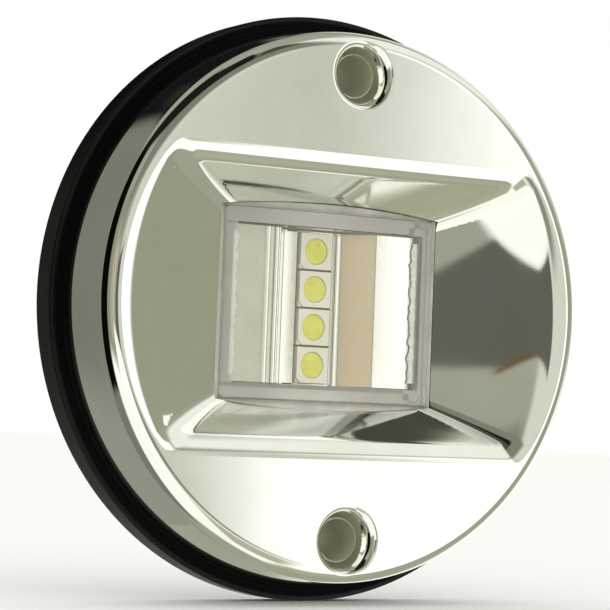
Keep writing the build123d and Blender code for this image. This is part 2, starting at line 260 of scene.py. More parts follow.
def window_outline():
    """Straight ends and long edges that bow outward, once round."""
    x = np.linspace(-WINDOW_X, WINDOW_X, 88)
    z = np.linspace(WINDOW_Z, -WINDOW_Z, 66)[1:-1]
    top = np.column_stack([x, window_edge(x)])
    right = np.column_stack([np.full_like(z, WINDOW_X), z])
    return np.vstack([top, right, -top, -right])


def layout_points():
    """The points inside the front's edges: an even grid, and fine rings at the rim and screws."""
    grid = []
    for number, z in enumerate(np.arange(-FRONT_R, FRONT_R, GRID * ROW_STEP)):
        x = np.arange(-FRONT_R, FRONT_R, GRID) + GRID * 0.5 * (number % 2)
        grid.append(np.column_stack([x, np.full_like(x, z)]))
    grid = np.vstack(grid)
    inside = np.hypot(grid[:, 0], grid[:, 1]) < GRID_TO
    inside &= ~in_window(grid, WINDOW_CLEAR)
    inside &= off_screws(grid, DISH_CLEAR)
    radii = np.arange(FINE_FROM, FRONT_R - RIM_CLEAR, FINE)
    edge = [ring(r, RIM_COUNT, turn=RIM_HALF_STEP * (i % 2)) for i, r in enumerate(radii)]
    edge = np.vstack(edge)
    edge = edge[off_screws(edge, DISH_R)]
    radii = np.arange(THROAT_R + FINE, DISH_R, FINE)
    dish = np.vstack([ring(r, DISH_COUNT, 0, side * SCREW_Z) for side in (1, -1) for r in radii])
    dish = dish[np.hypot(dish[:, 0], dish[:, 1]) < FRONT_R - DISH_RIM_CLEAR]
    return [grid[inside], edge, dish]


def cover_layout():
    """Flat triangulation of the cover's front, with the window and the two throats left open."""
    throats = [ring(THROAT_R, DISH_COUNT, 0, side * SCREW_Z) for side in (1, -1)]
    loops = [ring(FRONT_R, RIM_COUNT), window_outline()] + throats
    edges, start = [], 0
    for loop in loops:
        n = len(loop)
        edges += [(start + i, start + (i + 1) % n) for i in range(n)]
        start += n
    points = [Vector(p) for p in np.vstack(loops + layout_points())]
    flat, _, faces, *_ = delaunay_2d_cdt(points, edges, [], 0, 1e-6)
    flat = np.array([(v.x, v.y) for v in flat])
    middle = np.array([flat[list(f)].mean(0) for f in faces])
    keep = ~in_window(middle)
    keep &= np.hypot(middle[:, 0], middle[:, 1]) < FRONT_R
    keep &= off_screws(middle, THROAT_R * 0.9995)    # the faces right on a throat's edge stay
    faces = [tuple(f) for f, k in zip(faces, keep) if k]
    return flat, faces, [len(loop) for loop in loops]


def wall_rings():
    """Radius, height and tilt of each ring from the front, over the shoulder, to the foot."""
    first = math.acos((FRONT_R - SHOULDER_AT) / SHOULDER_R)
    rings = []
    for t in np.linspace(first, WALL_TILT, SHOULDER_STEPS)[1:]:
        rings.append((SHOULDER_AT + SHOULDER_R * math.cos(t),
                      FACE_H - SHOULDER_R + SHOULDER_R * math.sin(t), t))
    top_r, top_h, _ = rings[-1]
    for share in np.linspace(0, 1, WALL_STEPS)[1:]:
        belly = WALL_BELLY * math.sin(math.pi * share)
        bend = WALL_BELLY * math.pi * math.cos(math.pi * share) / (top_h - GASKET_H)
        rings.append((top_r + (COVER_R - top_r) * share + belly,
                      top_h + (GASKET_H - top_h) * share, WALL_TILT + bend))
    return rings + [(COVER_R, COVER_LOW, 0.0)]


def cover_skin():
    """Points, normals, faces and open borders of the cover's outside."""
    flat, faces, loops = cover_layout()
    x, z = flat[:, 0], flat[:, 1]
    area = [np.cross(flat[f[1]] - flat[f[0]], flat[f[2]] - flat[f[0]]) for f in faces]
    faces = [f if a > 0 else f[::-1] for f, a in zip(faces, area)]
    points = [np.column_stack([x, z, face_height(x, z)])]
    normals = [face_normals(x, z)]
    n = loops[0]
    angle = np.arctan2(z[:n], x[:n])
    base = len(flat)
    previous = np.arange(n)
    for r, height, tilt in wall_rings():
        points.append(np.column_stack([r * np.cos(angle), r * np.sin(angle), np.full(n, height)]))
        normals.append(np.column_stack([np.cos(tilt) * np.cos(angle), np.full(n, -math.sin(tilt)),
                                        np.cos(tilt) * np.sin(angle)]))
        current = base + np.arange(n)
        for i in range(n):
            j = (i + 1) % n
            faces.append((previous[i], current[i], current[j], previous[j]))
        previous, base = current, base + n
    starts = np.cumsum([0] + loops)
    borders = [np.arange(starts[i], starts[i + 1]) for i in (1, 2, 3)] + [previous]
    return np.vstack(points), np.vstack(normals), faces, borders


def build_cover(material):
    """The outside, the same surface one sheet's thickness inward, and the cut edges between."""
    points, normals, faces, borders = cover_skin()
    inner = points - np.column_stack([normals[:, 0], normals[:, 2], -normals[:, 1]]) * SHEET
    count = len(points)
    all_faces = faces + [tuple(i + count for i in f[::-1]) for f in faces]
    all_points = [points, inner]
    all_normals = [normals, -normals]
    base = 2 * count
    for border in borders:
        m = len(border)
        out_edge, in_edge = points[border], inner[border]
        along = np.roll(out_edge, -1, 0) - np.roll(out_edge, 1, 0)
        side = np.cross(along, in_edge - out_edge)
        side /= np.linalg.norm(side, axis=1)[:, None]
        side = np.column_stack([side[:, 0], -side[:, 2], side[:, 1]])
        all_points += [out_edge, in_edge]
        all_normals += [side, side]
        for i in range(m):
            j = (i + 1) % m
            all_faces.append((base + i, base + j, base + m + j, base + m + i))
        base += 2 * m
    return add_piece("pressed_cover", put(np.vstack(all_points)), all_faces, material,
                     ["steel_cover"], np.vstack(all_normals))


# ------------------------------------------------------------------ turned pieces

def rounded_outline(corners, steps=6):
    """A closed outline of (r, h, bend radius) corners with each corner rounded."""
    made = []
    for i, (r, h, bend) in enumerate(corners):
        here = np.array([r, h], float)
        if bend <= 0:
            made.append(tuple(here))
            continue
        before = np.array(corners[i - 1][:2], float) - here
        after = np.array(corners[(i + 1) % len(corners)][:2], float) - here
        a, b = before / np.linalg.norm(before), after / np.linalg.norm(after)
        half = math.acos(max(-1, min(1, float(a @ b)))) / 2
        room = 0.48 * min(np.linalg.norm(before), np.linalg.norm(after))
        reach = min(bend / math.tan(half), room)
        start, end = here + a * reach, here + b * reach
        for t in np.linspace(0, 1, steps + 1):
            made.append(tuple((1 - t) ** 2 * start + 2 * t * (1 - t) * here + t * t * end))
    return made


def turned(name, outline, material, stands_for):
    """A ring turned about the light's axis from a closed (r, h) outline."""
    r, h = np.array(outline).T
    angle = np.linspace(0, 2 * math.pi, AROUND, endpoint=False)
    points = [np.column_stack([r * math.cos(a), r * math.sin(a), h]) for a in angle]
    faces = band(AROUND, len(outline))
    return closed_piece(name, np.vstack(points), faces, material, stands_for, sharp=40)


def rounded_path(half_w, half_h, corner, steps=8):
    """Points and outward directions once round a rectangle with rounded corners."""
    points, outward = [], []
    for quarter, (sx, sz) in enumerate(((1, 1), (-1, 1), (-1, -1), (1, -1))):
        for t in np.linspace(0, math.pi / 2, steps + 1):
            a = quarter * math.pi / 2 + t
            away = (math.cos(a), math.sin(a))
            outward.append(away)
            points.append((sx * (half_w - corner) + corner * away[0],
                           sz * (half_h - corner) + corner * away[1]))
    return np.array(points), np.array(outward)


def framed(name, half_w, half_h, corner, outline, material, stands_for):
    """A closed outline of (distance outward, h) carried round a rounded rectangle."""
    path, outward = rounded_path(half_w, half_h, corner)
    points = [(p[0] + o[0] * away, p[1] + o[1] * away, h)
              for p, o in zip(path, outward) for away, h in outline]
    faces = band(len(path), len(outline))
    return closed_piece(name, points, faces, material, stands_for, sharp=40)


def bead(centre, reach, height, base, steps=8):
    """Points of a low round bead on a flat, as (x, h)."""
    return [(centre - reach * math.cos(t), base + height * math.sin(t))
            for t in np.linspace(0, math.pi, steps)]


def build_ring(shaded_face_rubber, lit_side_rubber):
    """The rubber ring between the cover and the hull, with a raised line near its edge. Its outer
    side takes the lighter, glossier copy of the rubber (painted light) and the rest takes the
    darker, duller copy (painted shade).
    """
    flat_h = GASKET_H - 0.1
    outer_r, seat_r = GASKET_R - 0.015, COVER_R + 0.05
    raised_line = [(r, h, 0.0) for r, h in reversed(bead(RING_BEAD_R, 0.3, 0.1, flat_h))]
    outline = rounded_outline([
        (RING_IN_R, 0.0, 0.3), (outer_r, 0.0, 0.5), (outer_r, flat_h, 0.8), *raised_line,
        (seat_r, flat_h, 0.0), (seat_r, COVER_LOW, 0.0), (RING_IN_R, COVER_LOW, 0.3),
    ])
    piece = turned("rubber_ring", outline, shaded_face_rubber, ["mounting_gasket"])
    drill_screws(piece, SLEEVE_R + 0.05)
    piece.data.materials.append(lit_side_rubber)
    # the outer side's faces take the copy with painted light
    for face in piece.data.polygons:
        if math.hypot(face.center.x, face.center.z) / MM > GASKET_R - 0.5:
            face.material_index = 1


# ------------------------------------------------------------------ lens and what it covers

def rounded_box(name, half_w, half_h, low, high, bulge, upright_r, edge_r):
    """A block with an arched front across its width and rounded front and upright edges."""
    work = bmesh.new()
    bmesh.ops.create_grid(work, x_segments=28, y_segments=2, size=1.0)
    for vertex in work.verts:
        vertex.co = Vector((vertex.co.x * half_w, vertex.co.y * half_h, low))
    raised = bmesh.ops.extrude_face_region(work, geom=list(work.faces))
    for item in raised["geom"]:
        if isinstance(item, bmesh.types.BMVert):
            item.co.z = high + bulge * (1 - (item.co.x / half_w) ** 2)
    bmesh.ops.recalc_face_normals(work, faces=work.faces)

    def at_corner(edge):
        return all(abs(abs(v.co.x) - half_w) < 1e-4 and abs(abs(v.co.y) - half_h) < 1e-4
                   for v in edge.verts)

    def on_front(edge):
        return (len(edge.link_faces) == 2 and all(v.co.z > high - 0.01 for v in edge.verts)
                and edge.calc_face_angle(0) > math.radians(50))

    upright = [e for e in work.edges
               if at_corner(e) and abs(e.verts[0].co.z - e.verts[1].co.z) > 0.5]
    bmesh.ops.bevel(work, geom=upright, offset=upright_r, segments=6, profile=0.5, affect="EDGES")
    front = [e for e in work.edges if on_front(e)]
    bmesh.ops.bevel(work, geom=front, offset=edge_r, segments=5, profile=0.5, affect="EDGES")
    for vertex in work.verts:
        x, z, h = vertex.co
        vertex.co = Vector((x, -h, z)) * MM
    return loose_object(name, work)


def loose_object(name, work):
    """A plain object from a finished bmesh."""
    bmesh.ops.recalc_face_normals(work, faces=work.faces)
    mesh = bpy.data.meshes.new(name)
    work.to_mesh(mesh)
    work.free()
    made = bpy.data.objects.new(name, mesh)
    bpy.context.scene.collection.objects.link(made)
    return made


def combine(target, tool, how):
    """Joins a tool into a mesh or cuts it away, then removes the tool."""
    cut = target.modifiers.new("cut", "BOOLEAN")
    cut.operation, cut.solver, cut.object = how, "EXACT", tool
    graph = bpy.context.evaluated_depsgraph_get()
    mesh = bpy.data.meshes.new_from_object(target.evaluated_get(graph))
    target.modifiers.clear()
    target.data = mesh
    bpy.data.objects.remove(tool)


def drill_screws(piece, radius):
    """Cuts both screw holes straight through a piece, on a copy that isn't on the body yet."""
    piece.modifiers.clear()
    blank = bpy.data.objects.new("blank", piece.data.copy())
    bpy.context.scene.collection.objects.link(blank)
    for side in (1, -1):
        work = bmesh.new()
        bmesh.ops.create_cone(work, cap_ends=True, segments=96, radius1=radius * MM,
                              radius2=radius * MM, depth=60 * MM)
        for vertex in work.verts:
            x, y, z = vertex.co
            vertex.co = Vector((x, z, -y + side * SCREW_Z * MM))
        combine(blank, loose_object("drill", work), "DIFFERENCE")
    piece.data = blank.data
    bpy.data.objects.remove(blank)
    crease(piece, 40)


def split_at_hollow(mesh):
    """Cuts the lens's front along the hollow's four sides, so that a material can end there."""
    work = bmesh.new()
    work.from_mesh(mesh)
    for at_x, at_z in ((LENS_IN_X, 0), (-LENS_IN_X, 0), (0, LENS_IN_Z), (0, -LENS_IN_Z)):
        front = [f for f in work.faces if -f.calc_center_median().y / MM > LENS_EDGE_H - 0.8]
        around = [v for f in front for v in f.verts] + [e for f in front for e in f.edges]
        around = list(dict.fromkeys(around))
        bmesh.ops.bisect_plane(work, geom=around + front, dist=1e-7,
                               plane_co=Vector((at_x, 0, at_z)) * MM,
                               plane_no=(1, 0, 0) if at_x else (0, 0, 1))
    work.to_mesh(mesh)
    work.free()


def build_lens(front, wall):
    """The clear box with its flange: clear over the hollow. Its thick walls get a milky pale tone,
    which is painted light in place of the light that the clear walls reflect inside them.
    """
    lens = rounded_box("lens_box", LENS_X, LENS_Z, LENS_LOW, LENS_EDGE_H, LENS_ARCH,
                       upright_r=0.8, edge_r=0.4)
    flange = rounded_box("flange", LENS_FLANGE_W, LENS_FLANGE_Z, FLANGE_LOW, FLANGE_HIGH,
                         bulge=0, upright_r=1.8, edge_r=0.2)
    cavity = rounded_box("cavity", LENS_IN_X, LENS_IN_Z, LENS_LOW - 1, LENS_EDGE_H - 1.5,
                         LENS_ARCH, upright_r=0.15, edge_r=0.05)
    combine(lens, flange, "UNION")
    combine(lens, cavity, "DIFFERENCE")
    split_at_hollow(lens.data)
    dress(lens, front, ["lens"], sharp=35)
    # the thick walls take the milky copy, whose pale tone is painted light
    lens.data.materials.append(wall)
    for face in lens.data.polygons:
        x, z = abs(face.center.x) / MM, abs(face.center.z) / MM
        over_hollow = x < LENS_IN_X + 0.01 and z < LENS_IN_Z + 0.01 and face.normal.y < -0.5
        behind = face.normal.y > 0.5
        face.material_index = 0 if over_hollow or behind else 1


def strip(name, outline, half_h, material, stands_for):
    """A closed (x, h) outline carried straight up and down between -half_h and half_h."""
    points = [(x, z, h) for z in (-half_h, half_h) for x, h in outline]
    faces = band(2, len(outline), closed=False) + end_caps(2, len(outline))
    return closed_piece(name, points, faces, material, stands_for, sharp=35)


def tray_left(bright, satin):
    """Wide satin flange with two raised lines, slope and ledge, left of the LEDs."""
    top, ledge, edge = TRAY_TOP, TRAY_LEDGE, TRAY_X
    front = [(-edge, TRAY_FOOT), (-edge, top - 0.25), (-edge + 0.25, top)]
    front += bead(-9.35, 0.5, 0.14, top) + bead(-7.95, 0.45, 0.14, top)
    front += [(-7.35, top), (-7.2, top - 0.06), (-5.15, ledge + 0.14), (-4.95, ledge),
              (-2.9, ledge), (-TRAY_GAP, ledge - 0.1)]
    back = [(-TRAY_GAP, ledge - TRAY_SHEET), (-4.7, ledge - TRAY_SHEET),
            (-7.0, top - TRAY_FLANGE_SHEET), (-edge + 0.5, top - TRAY_FLANGE_SHEET),
            (-edge + 0.5, TRAY_FOOT)]
    piece = strip("tray_left", front + back, TRAY_Z, bright,
                  ["reflector_tray"])
    piece.data.materials.append(satin)
    for face in piece.data.polygons:
        x, h = face.center.x / MM, -face.center.y / MM
        if x < -9.7 and h > top - 0.2 and face.normal.y < -0.5:
            face.material_index = 1


def tray_right(bright):
    """Ledge with one raised line, slope and narrow flange, right of the LEDs."""
    top, ledge, edge = TRAY_TOP, TRAY_LEDGE, TRAY_X
    front = [(TRAY_GAP, ledge - 0.1), (2.9, ledge)] + bead(3.65, 0.5, 0.22, ledge)
    front += [(4.3, ledge), (4.45, ledge + 0.08), (8.05, top - 0.1), (8.25, top),
              (edge - 0.25, top - 0.14), (edge, top - 0.4), (edge, TRAY_FOOT)]
    back = [(edge - 0.5, TRAY_FOOT), (edge - 0.5, top - TRAY_FLANGE_SHEET),
            (8.4, top - TRAY_FLANGE_SHEET), (4.6, ledge - TRAY_SHEET),
            (TRAY_GAP, ledge - TRAY_SHEET)]
    strip("tray_right", front + back, TRAY_Z, bright, ["reflector_tray"])


def tray_end(name, side, bright):
    """The bar that joins both halves above or below the LEDs."""
    low, high = sorted((side * 10.5, side * 10.8))
    points = [(x, z, h) for x in (-4.6, 4.2) for z in (low, high)
              for h in (TRAY_LEDGE - TRAY_SHEET, TRAY_LEDGE)]
    faces = [(0, 1, 3, 2), (4, 6, 7, 5), (0, 4, 5, 1), (2, 3, 7, 6), (0, 2, 6, 4), (1, 5, 7, 3)]
    piece = add_piece(name, put(points), faces, bright, ["reflector_tray"])
    fix_outward(piece)
    bevel = piece.modifiers.new("soft_edges", "BEVEL")
    bevel.width, bevel.segments = 0.06 * MM, 2


def build_tray(bright, satin):
    """The bright moulding round the LEDs. Outlines are (x, h): its front, then its back."""
    tray_left(bright, satin)
    tray_right(bright)
    tray_end("tray_end_upper", 1, bright)
    tray_end("tray_end_lower", -1, bright)


def build_seal(material):
    """Clear sealant between lens and cover: a flat ring under the cover and a dished lip."""
    ring_low, ring_high, lip_low = 5.21, 6.4, 6.45
    outline = rounded_outline([(0.0, ring_low, 0.1), (1.9, ring_low, 0.2),
                               (1.9, ring_high, 0.3), (0.0, ring_high, 0.1)])
    framed("seal_ring", LENS_X + 0.1, LENS_Z + 0.1, 0.8, outline, material,
           ["lens_seal"])
    # both edges of the lip stop a hair short of the pieces beside them
    outer = window_outline() * 0.998
    inner = np.array([(x * LENS_X / WINDOW_X * 1.0005,
                       math.copysign(min(abs(z) * LENS_Z / WINDOW_Z, LENS_Z), z))
                      for x, z in window_outline()])
    # (share of the way from the lens to the window's edge, h) once round the lip
    section = ((0.0, lip_low), (0.0, 7.5), (0.12, 7.3), (0.35, 7.12), (0.65, 7.1), (0.9, 7.3),
               (1.0, 7.5), (1.0, lip_low))
    rows = [np.column_stack([inner + (outer - inner) * share, np.full(len(outer), h)])
            for share, h in section]
    closed_piece("seal_lip", np.vstack(rows), band(len(rows), len(outer)), material,
                 ["lens_seal"], sharp=50)


def build_glue(material):
    """An uneven bead of adhesive down each side of the tray."""
    rng = np.random.default_rng(GLUE_SEED)
    near, far, base = TRAY_X + 0.02, LENS_IN_X - 0.02, TRAY_TOP - 0.7
    for side, name in ((1, "glue_right"), (-1, "glue_left")):
        points = []
        swell = np.convolve(rng.uniform(-1, 1, GLUE_ROWS + 6), np.ones(3) / 3, "valid")[:GLUE_ROWS]
        for z, lump in zip(np.linspace(-GLUE_Z, GLUE_Z, GLUE_ROWS), swell):
            inner = near - 0.45 - 0.35 * lump
            crown = TRAY_TOP + 0.16 + 0.12 * lump
            outline = [(inner, TRAY_TOP + 0.01), (inner + 0.12, crown), (near + 0.1, crown + 0.06),
                       (far, crown), (far, base), (near, base), (near, TRAY_TOP + 0.01)]
            points += [(side * x, z, h) for x, h in outline]
        count = len(outline)
        faces = band(GLUE_ROWS, count, closed=False) + end_caps(GLUE_ROWS, count)
        piece = add_piece(name, put(points), faces, material, ["tray_adhesive"])
        fix_outward(piece)


def build_phosphor(number, material):
    """The domed yellow gel in one LED's well."""
    node = f"led_phosphor_{number}"
    low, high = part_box(node)
    radius = (high.x - low.x) / 2 / MM
    middle_z = (high.z + low.z) / 2 / MM
    base, top = -high.y / MM, -low.y / MM
    rim_h = top - GEL_DOME
    section = [(radius, base), (radius, rim_h)]
    section += [(radius * math.cos(t), rim_h + GEL_DOME * math.sin(t))
                for t in np.linspace(0.2, math.pi / 2, 7)[:-1]]
    points = [(0.0, middle_z, base), (0.0, middle_z, top)]
    for a in np.linspace(0, 2 * math.pi, GEL_SEGMENTS, endpoint=False):
        points += [(r * math.cos(a), middle_z + r * math.sin(a), h) for r, h in section]
    count, faces = len(section), []
    for s in range(GEL_SEGMENTS):
        a, b = 2 + s * count, 2 + (s + 1) % GEL_SEGMENTS * count
        faces += [(a + i, a + i + 1, b + i + 1, b + i) for i in range(count - 1)]
        faces += [(0, a, b), (1, b + count - 1, a + count - 1)]
    piece = add_piece(f"phosphor_gel_{number}", put(points), faces, material, [node])
    fix_outward(piece)
    mark_sharp(piece.data, 50)


def build_resin(material):
    """The potting: a thin bed round the circuit board, with a fillet that climbs the lens box."""
    outline = [(-1.8, 1.03), (0.46, 1.03), (0.46, 3.4), (0.3, 3.28), (0.15, 3.3), (0.02, 3.4),
               (0.02, 1.18), (-1.8, 1.18)]
    framed("potting_bed", LENS_X + 0.02, LENS_Z + 0.02, 0.8, outline, material,
           ["potting_resin"])


# ------------------------------------------------------------------ materials

PATTERN_LOW, PATTERN_HIGH = 0.3, 0.7    # the range that noise mostly keeps to
MIX_A, MIX_B, MIX_RESULT = 6, 7, 2      # the colour sockets of a Mix node


def new_material(name, **values):
    """A Principled material; values are set on the shader's own sockets."""
    material = bpy.data.materials.new(name)
    material.use_nodes = True
    shader = material.node_tree.nodes["Principled BSDF"]
    for socket, value in values.items():
        shader.inputs[socket.replace("_", " ")].default_value = value
    return material, shader


def maths(tree, operation, *values):
    """A Math node on numbers or on other nodes' outputs."""
    made = tree.nodes.new("ShaderNodeMath")
    made.operation = operation
    for socket, value in zip(made.inputs, values):
        if isinstance(value, (int, float)):
            socket.default_value = value
        else:
            tree.links.new(value, socket)
    return made.outputs[0]


def noise(material, size, detail=3.0, rough=0.5, stretch=(1, 1, 1)):
    """Noise whose features are about size millimetres across, in the frame's own coordinates."""
    tree = material.node_tree
    where = tree.nodes.new("ShaderNodeTexCoord")
    scale = tree.nodes.new("ShaderNodeMapping")
    scale.inputs["Scale"].default_value = [s / (size * MM) for s in stretch]
    made = tree.nodes.new("ShaderNodeTexNoise")
    made.inputs["Scale"].default_value = 1.0
    made.inputs["Detail"].default_value = detail
    made.inputs["Roughness"].default_value = rough
    tree.links.new(where.outputs["Object"], scale.inputs["Vector"])
    tree.links.new(scale.outputs["Vector"], made.inputs["Vector"])
    return made.outputs["Fac"]


def spread(material, source, low, high):
    """Maps a pattern's middle range onto two values."""
    tree = material.node_tree
    made = tree.nodes.new("ShaderNodeMapRange")
    made.inputs["From Min"].default_value = PATTERN_LOW
    made.inputs["From Max"].default_value = PATTERN_HIGH
    made.inputs["To Min"].default_value = low
    made.inputs["To Max"].default_value = high
    tree.links.new(source, made.inputs["Value"])
    return made.outputs["Result"]


def tint(material, source, low, high):
    """A colour that runs between two tones along a pattern."""
    tree = material.node_tree
    made = tree.nodes.new("ShaderNodeValToRGB")
    stops = zip(made.color_ramp.elements, (PATTERN_LOW, PATTERN_HIGH), (low, high))
    for element, position, tone in stops:
        element.position = position
        element.color = (*tone, 1)
    tree.links.new(source, made.inputs["Fac"])
    return made.outputs["Color"]


def relief(material, shader, *layers):
    """Bump from (pattern, depth in millimetres) layers."""
    tree = material.node_tree
    before = None
    for source, depth in layers:
        made = tree.nodes.new("ShaderNodeBump")
        made.inputs["Strength"].default_value = 1.0
        made.inputs["Distance"].default_value = depth * MM
        tree.links.new(source, made.inputs["Height"])
        if before is not None:
            tree.links.new(before, made.inputs["Normal"])
        before = made.outputs["Normal"]
    tree.links.new(before, shader.inputs["Normal"])


def vary(material, shader, pattern, low, high, rough_low, rough_high):
    """Colour and gloss that drift along one pattern."""
    links = material.node_tree.links
    links.new(tint(material, pattern, low, high), shader.inputs["Base Color"])
    links.new(spread(material, pattern, rough_low, rough_high), shader.inputs["Roughness"])


def polished_steel():
    """Mirror-polished stainless steel with a slight haze and a very faint wave."""
    material, shader = new_material("polished_stainless", Metallic=1.0)
    haze = noise(material, 9.0, 4.0, 0.6)
    grain = noise(material, 0.5, 2.0, 0.5, (1, 1, 6))
    vary(material, shader, haze, (0.86, 0.86, 0.81), (0.92, 0.92, 0.885), 0.03, 0.055)
    relief(material, shader, (noise(material, 14.0, 1.0, 0.4), 0.012), (grain, 0.0004))
    return material


def moulded(name, low, high, rough_low, rough_high, grain=0.5, depth=0.01, size=5.0, **values):
    """Moulded rubber or plastic: a little colour drift, a fine grain and uneven gloss."""
    material, shader = new_material(name, **values)
    vary(material, shader, noise(material, size, 3.0, 0.6), low, high, rough_low, rough_high)
    relief(material, shader, (noise(material, grain, 2.0, 0.6), depth))
    return material


def metal(name, low, high, rough_low, rough_high, grain=0.6, depth=0.004, size=3.0):
    """The same drift and grain on bare metal."""
    return moulded(name, low, high, rough_low, rough_high, grain, depth, size, Metallic=1.0)


def let_lamps_through(material, shader):
    """Shadow and diffuse rays pass the clear plastic, so that what is behind it is lit."""
    tree = material.node_tree
    path = tree.nodes.new("ShaderNodeLightPath")
    either = maths(tree, "MAXIMUM", path.outputs["Is Shadow Ray"], path.outputs["Is Diffuse Ray"])
    open_way = tree.nodes.new("ShaderNodeBsdfTransparent")
    mix = tree.nodes.new("ShaderNodeMixShader")
    for socket, source in zip(mix.inputs, (either, shader.outputs[0], open_way.outputs[0])):
        tree.links.new(source, socket)
    tree.links.new(mix.outputs[0], tree.nodes["Material Output"].inputs["Surface"])


def clear_plastic(name, share, low, high, rough_low, rough_high):
    """Clear plastic, of which share lets light through and the rest is milky."""
    material, shader = new_material(name, Transmission_Weight=share, IOR=1.49)
    vary(material, shader, noise(material, 7.0, 2.0), low, high, rough_low, rough_high)
    relief(material, shader, (noise(material, 11.0, 1.0), 0.006))
    let_lamps_through(material, shader)
    return material


# ------------------------------------------------------------------ studio

def panel_mask(tree, angle, low, high, soft):
    """1 where an angle in degrees lies between two limits, fading over soft degrees."""
    steps = []
    for edge, side in ((low, 1), (high, -1)):
        step = tree.nodes.new("ShaderNodeMapRange")
        step.interpolation_type = "SMOOTHSTEP"
        step.inputs["From Min"].default_value = edge - side * soft / 2
        step.inputs["From Max"].default_value = edge + side * soft / 2
        tree.links.new(angle, step.inputs["Value"])
        steps.append(step.outputs["Result"])
    return maths(tree, "MULTIPLY", *steps)


def overlay(tree, mask, under, over):
    """One colour laid over another where a mask is 1."""
    mix = tree.nodes.new("ShaderNodeMix")
    mix.data_type = "RGBA"
    tree.links.new(mask, mix.inputs["Factor"])
    if isinstance(under, tuple):
        mix.inputs[MIX_A].default_value = (*under, 1)
    else:
        tree.links.new(under, mix.inputs[MIX_A])
    mix.inputs[MIX_B].default_value = (*over, 1)
    return mix.outputs[MIX_RESULT]


def studio_world(base, panels, fill, backdrop):
    """Soft light from all round, with softboxes and dark flags by direction, and a white backdrop.

    A panel is (from azimuth, to azimuth, from elevation, to elevation, softness, colour), in
    degrees; azimuth 0 is straight in front of the light and 90 to its right. A seventh value
    slants its upright edges by that many degrees of azimuth per degree of elevation. A later
    panel covers an earlier one."""
    world = bpy.data.worlds.new("studio")
    bpy.context.scene.world = world
    world.use_nodes = True
    tree = world.node_tree
    where = tree.nodes.new("ShaderNodeTexCoord")
    parts = tree.nodes.new("ShaderNodeSeparateXYZ")
    tree.links.new(where.outputs["Generated"], parts.inputs[0])
    x, y, z = parts.outputs
    to_degrees = 180 / math.pi
    forward = maths(tree, "MULTIPLY", y, -1.0)
    azimuth = maths(tree, "MULTIPLY", maths(tree, "ARCTAN2", x, forward), to_degrees)
    elevation = maths(tree, "MULTIPLY", maths(tree, "ARCSINE", z), to_degrees)
    colour = base
    for low_a, high_a, low_e, high_e, soft, tone, *slant in panels:
        across = azimuth
        if slant:
            above = maths(tree, "SUBTRACT", elevation, low_e)
            across = maths(tree, "ADD", azimuth, maths(tree, "MULTIPLY", above, slant[0]))
        mask = maths(tree, "MULTIPLY", panel_mask(tree, across, low_a, high_a, soft),
                     panel_mask(tree, elevation, low_e, high_e, soft))
        colour = overlay(tree, mask, colour, tone)
    path = tree.nodes.new("ShaderNodeLightPath")
    colour = overlay(tree, path.outputs["Is Diffuse Ray"], colour, fill)
    colour = overlay(tree, path.outputs["Is Camera Ray"], colour, backdrop)
    tree.links.new(colour, tree.nodes["Background"].inputs["Color"])


def make_camera(position, azimuth, rise, roll, lens):
    """A camera that looks to the right of +y by azimuth and upward by rise, in degrees."""
    camera = bpy.data.objects.new("camera", bpy.data.cameras.new("camera"))
    bpy.context.scene.collection.objects.link(camera)
    azimuth, rise = math.radians(azimuth), math.radians(rise)
    forward = Vector((math.sin(azimuth) * math.cos(rise), math.cos(azimuth) * math.cos(rise),
                      math.sin(rise)))
    right = forward.cross(Vector((0, 0, 1))).normalized()
    up = right.cross(forward)
    turn = Matrix.Rotation(math.radians(roll), 3, forward)
    right, up = turn @ right, turn @ up
    basis = Matrix((right, up, -forward)).transposed().to_4x4()
    camera.matrix_world = Matrix.Translation(Vector(position) * MM) @ basis
    camera.data.lens = lens
    camera.data.sensor_width = 36
    camera.data.clip_start = 0.01
    bpy.context.scene.camera = camera


def make_floor(level):
    """A plain white floor under the light, which its reflections don't show."""
    white, shader = new_material("floor_white", Roughness=0.9)
    tone = tint(white, noise(white, 300), (0.97, 0.97, 0.97), (0.98, 0.98, 0.98))
    white.node_tree.links.new(tone, shader.inputs["Base Color"])
    bpy.ops.mesh.primitive_circle_add(vertices=96, radius=3.0, fill_type="NGON",
                                      location=(0, 0, level))
    floor = bpy.context.object
    floor.name = "studio_floor"
    floor.data.materials.append(white)
    floor.visible_glossy = False
    floor.visible_transmission = False
    floor.visible_diffuse = False


# ------------------------------------------------------------------ build

def finish_nodes(names, material):
    """Gives CAD nodes that keep their shape a material."""
    for name in names:
        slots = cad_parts[name].data.materials
        slots.clear()
        slots.append(material)


steel = polished_steel()
# one rubber in two copies: a darker, duller one with painted shade for the ring's front, and a
# lighter, glossier one with painted light for its outer side
rubber_face_shaded = moulded("black_rubber", (0.0010, 0.0010, 0.0012), (0.0025, 0.0025, 0.0027), 0.4, 0.55,
                 0.35, 0.006, Specular_IOR_Level=0.06)
black = moulded("black_plastic", (0.012, 0.012, 0.012), (0.02, 0.02, 0.02), 0.4, 0.55)
rubber_side_lit = moulded("black_rubber_side_painted_lit", (0.002, 0.002, 0.002), (0.004, 0.004, 0.004),
                      0.25, 0.36, 0.35, 0.006, Specular_IOR_Level=0.22)
clear = clear_plastic("clear_plastic", 1.0, (0.975, 0.98, 0.955), (0.99, 0.99, 0.98), 0.0, 0.02)
